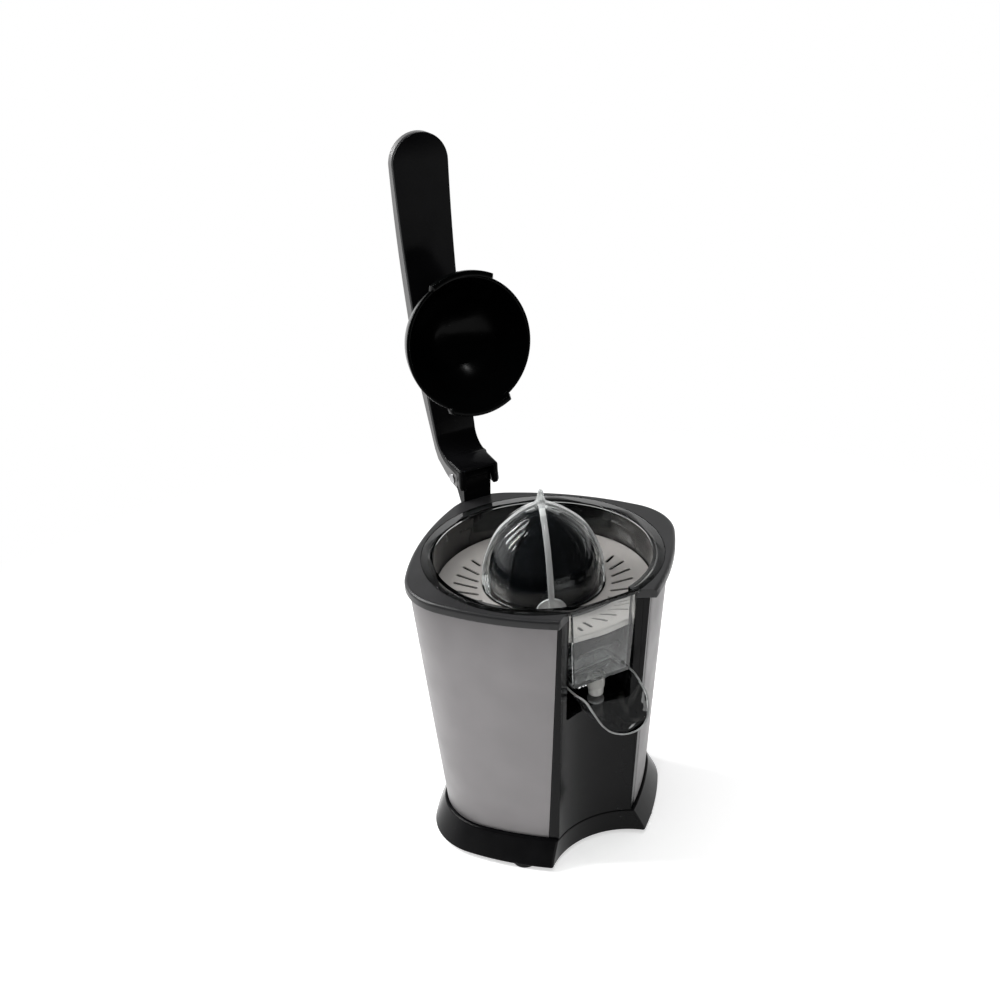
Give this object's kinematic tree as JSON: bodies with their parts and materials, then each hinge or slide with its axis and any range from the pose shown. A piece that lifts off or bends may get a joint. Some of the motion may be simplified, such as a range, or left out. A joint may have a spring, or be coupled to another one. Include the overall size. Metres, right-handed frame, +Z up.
{
  "type": "citrus press juicer",
  "caption": "Electric lever citrus press: a raised arm with a press cup over a clear reamer cone, slotted steel strainer, clear bowl and tilting spout.",
  "frame": {"origin": "centre of the table contact plane, on the bowl axis", "axes": "+Z up, -Y front where the spout points, +X to the viewer's right when facing the front"},
  "size_m": [0.1758, 0.2404, 0.4164],
  "materials": {
    "black_gloss": "polished moulded",
    "black_matte": "satin moulded",
    "silver": "fine satin silver",
    "steel": "brushed",
    "clear": "clear moulded",
    "white": "moulded",
    "rubber": "soft matte",
    "bronze": "turned",
    "grey_plastic": "moulded",
    "dark_iron": "laminated"
  },
  "bodies": {
    "base": {"base_shell": "black_gloss", "bottom_plate": "black_matte", "rubber_feet": "rubber", "bottom_screws": "steel", "cord_gland": "black_matte", "housing": "black_gloss", "steel_wrap": "silver", "front_panel": "black_gloss", "spout_bay": "black_gloss", "deck": "black_matte", "top_rim": "black_gloss", "spout_rod": "steel", "gearbox_base": "grey_plastic", "gearbox_cover": "grey_plastic", "gearbox_screws": "steel", "idler_axle": "steel", "lower_bush": "bronze", "upper_bush": "bronze", "shaft_seal": "rubber", "motor_can": "steel", "motor_end_cap": "white", "motor_magnets": "dark_iron", "return_spring": "steel", "switch_body": "black_matte"},
    "carriage": {"thrust_washer": "bronze", "switch_plunger": "white"},
    "drive": {"drive_shaft": "steel", "output_gear": "white", "retaining_ring": "steel"},
    "idler": {"idler_gear": "white"},
    "rotor": {"motor_rotor": "dark_iron", "motor_pinion": "bronze"},
    "small_cone": {"small_cone": "black_matte"},
    "large_cone": {"large_cone": "clear"},
    "bowl": {"juice_bowl": "clear", "strainer": "steel", "outlet_nozzle": "white"},
    "spout": {"spout": "clear", "spout_plug": "black_matte"},
    "arm": {"arm_cover": "silver", "arm_shell": "black_gloss", "press_cup": "black_gloss", "cup_screw": "steel", "hinge_pin": "steel", "hinge_caps": "steel"}
  },
  "joints": [
    {"name": "arm_hinge", "type": "hinge", "parent": "base", "child": "arm", "pos_m": [0, 0.09, 0.2056], "axis": [-1, 0, 0], "range_deg": [-90, 0]},
    {"name": "press_travel", "type": "slide", "parent": "base", "child": "carriage", "axis": [0, 0, 1], "range_m": [-0.0025, 0], "stiffness_N_per_m": 4000, "springref_m": 0.002, "deforming": ["return_spring"]},
    {"name": "cone_spin", "type": "hinge", "parent": "carriage", "child": "drive", "pos_m": [0, 0, 0.1], "axis": [0, 0, 1], "continuous": true},
    {"name": "idler_spin", "type": "hinge", "parent": "base", "child": "idler", "pos_m": [0.02546, 0.02546, 0.108], "axis": [0, 0, 1], "continuous": true},
    {"name": "rotor_spin", "type": "hinge", "parent": "base", "child": "rotor", "pos_m": [0.00424, 0.03771, 0.062], "axis": [0, 0, 1], "continuous": true},
    {"name": "cone_lift", "type": "slide", "parent": "drive", "child": "small_cone", "axis": [0, 0, 1], "range_m": [0, 0.045]},
    {"name": "large_cone_lift", "type": "slide", "parent": "small_cone", "child": "large_cone", "axis": [0, 0, 1], "range_m": [0, 0.06]},
    {"name": "bowl_lift", "type": "slide", "parent": "base", "child": "bowl", "axis": [0, 0, 1], "range_m": [0, 0.045]},
    {"name": "spout_flip", "type": "hinge", "parent": "base", "child": "spout", "pos_m": [0, -0.0452, 0.131], "axis": [-1, 0, 0], "range_deg": [0, 11]}
  ],
  "couplings": [
    {"joint": "idler_spin", "follows": "cone_spin", "ratio": -5},
    {"joint": "rotor_spin", "follows": "cone_spin", "ratio": 30},
    {"joint": "cone_lift", "follows": "bowl_lift", "ratio": 1}
  ]
}
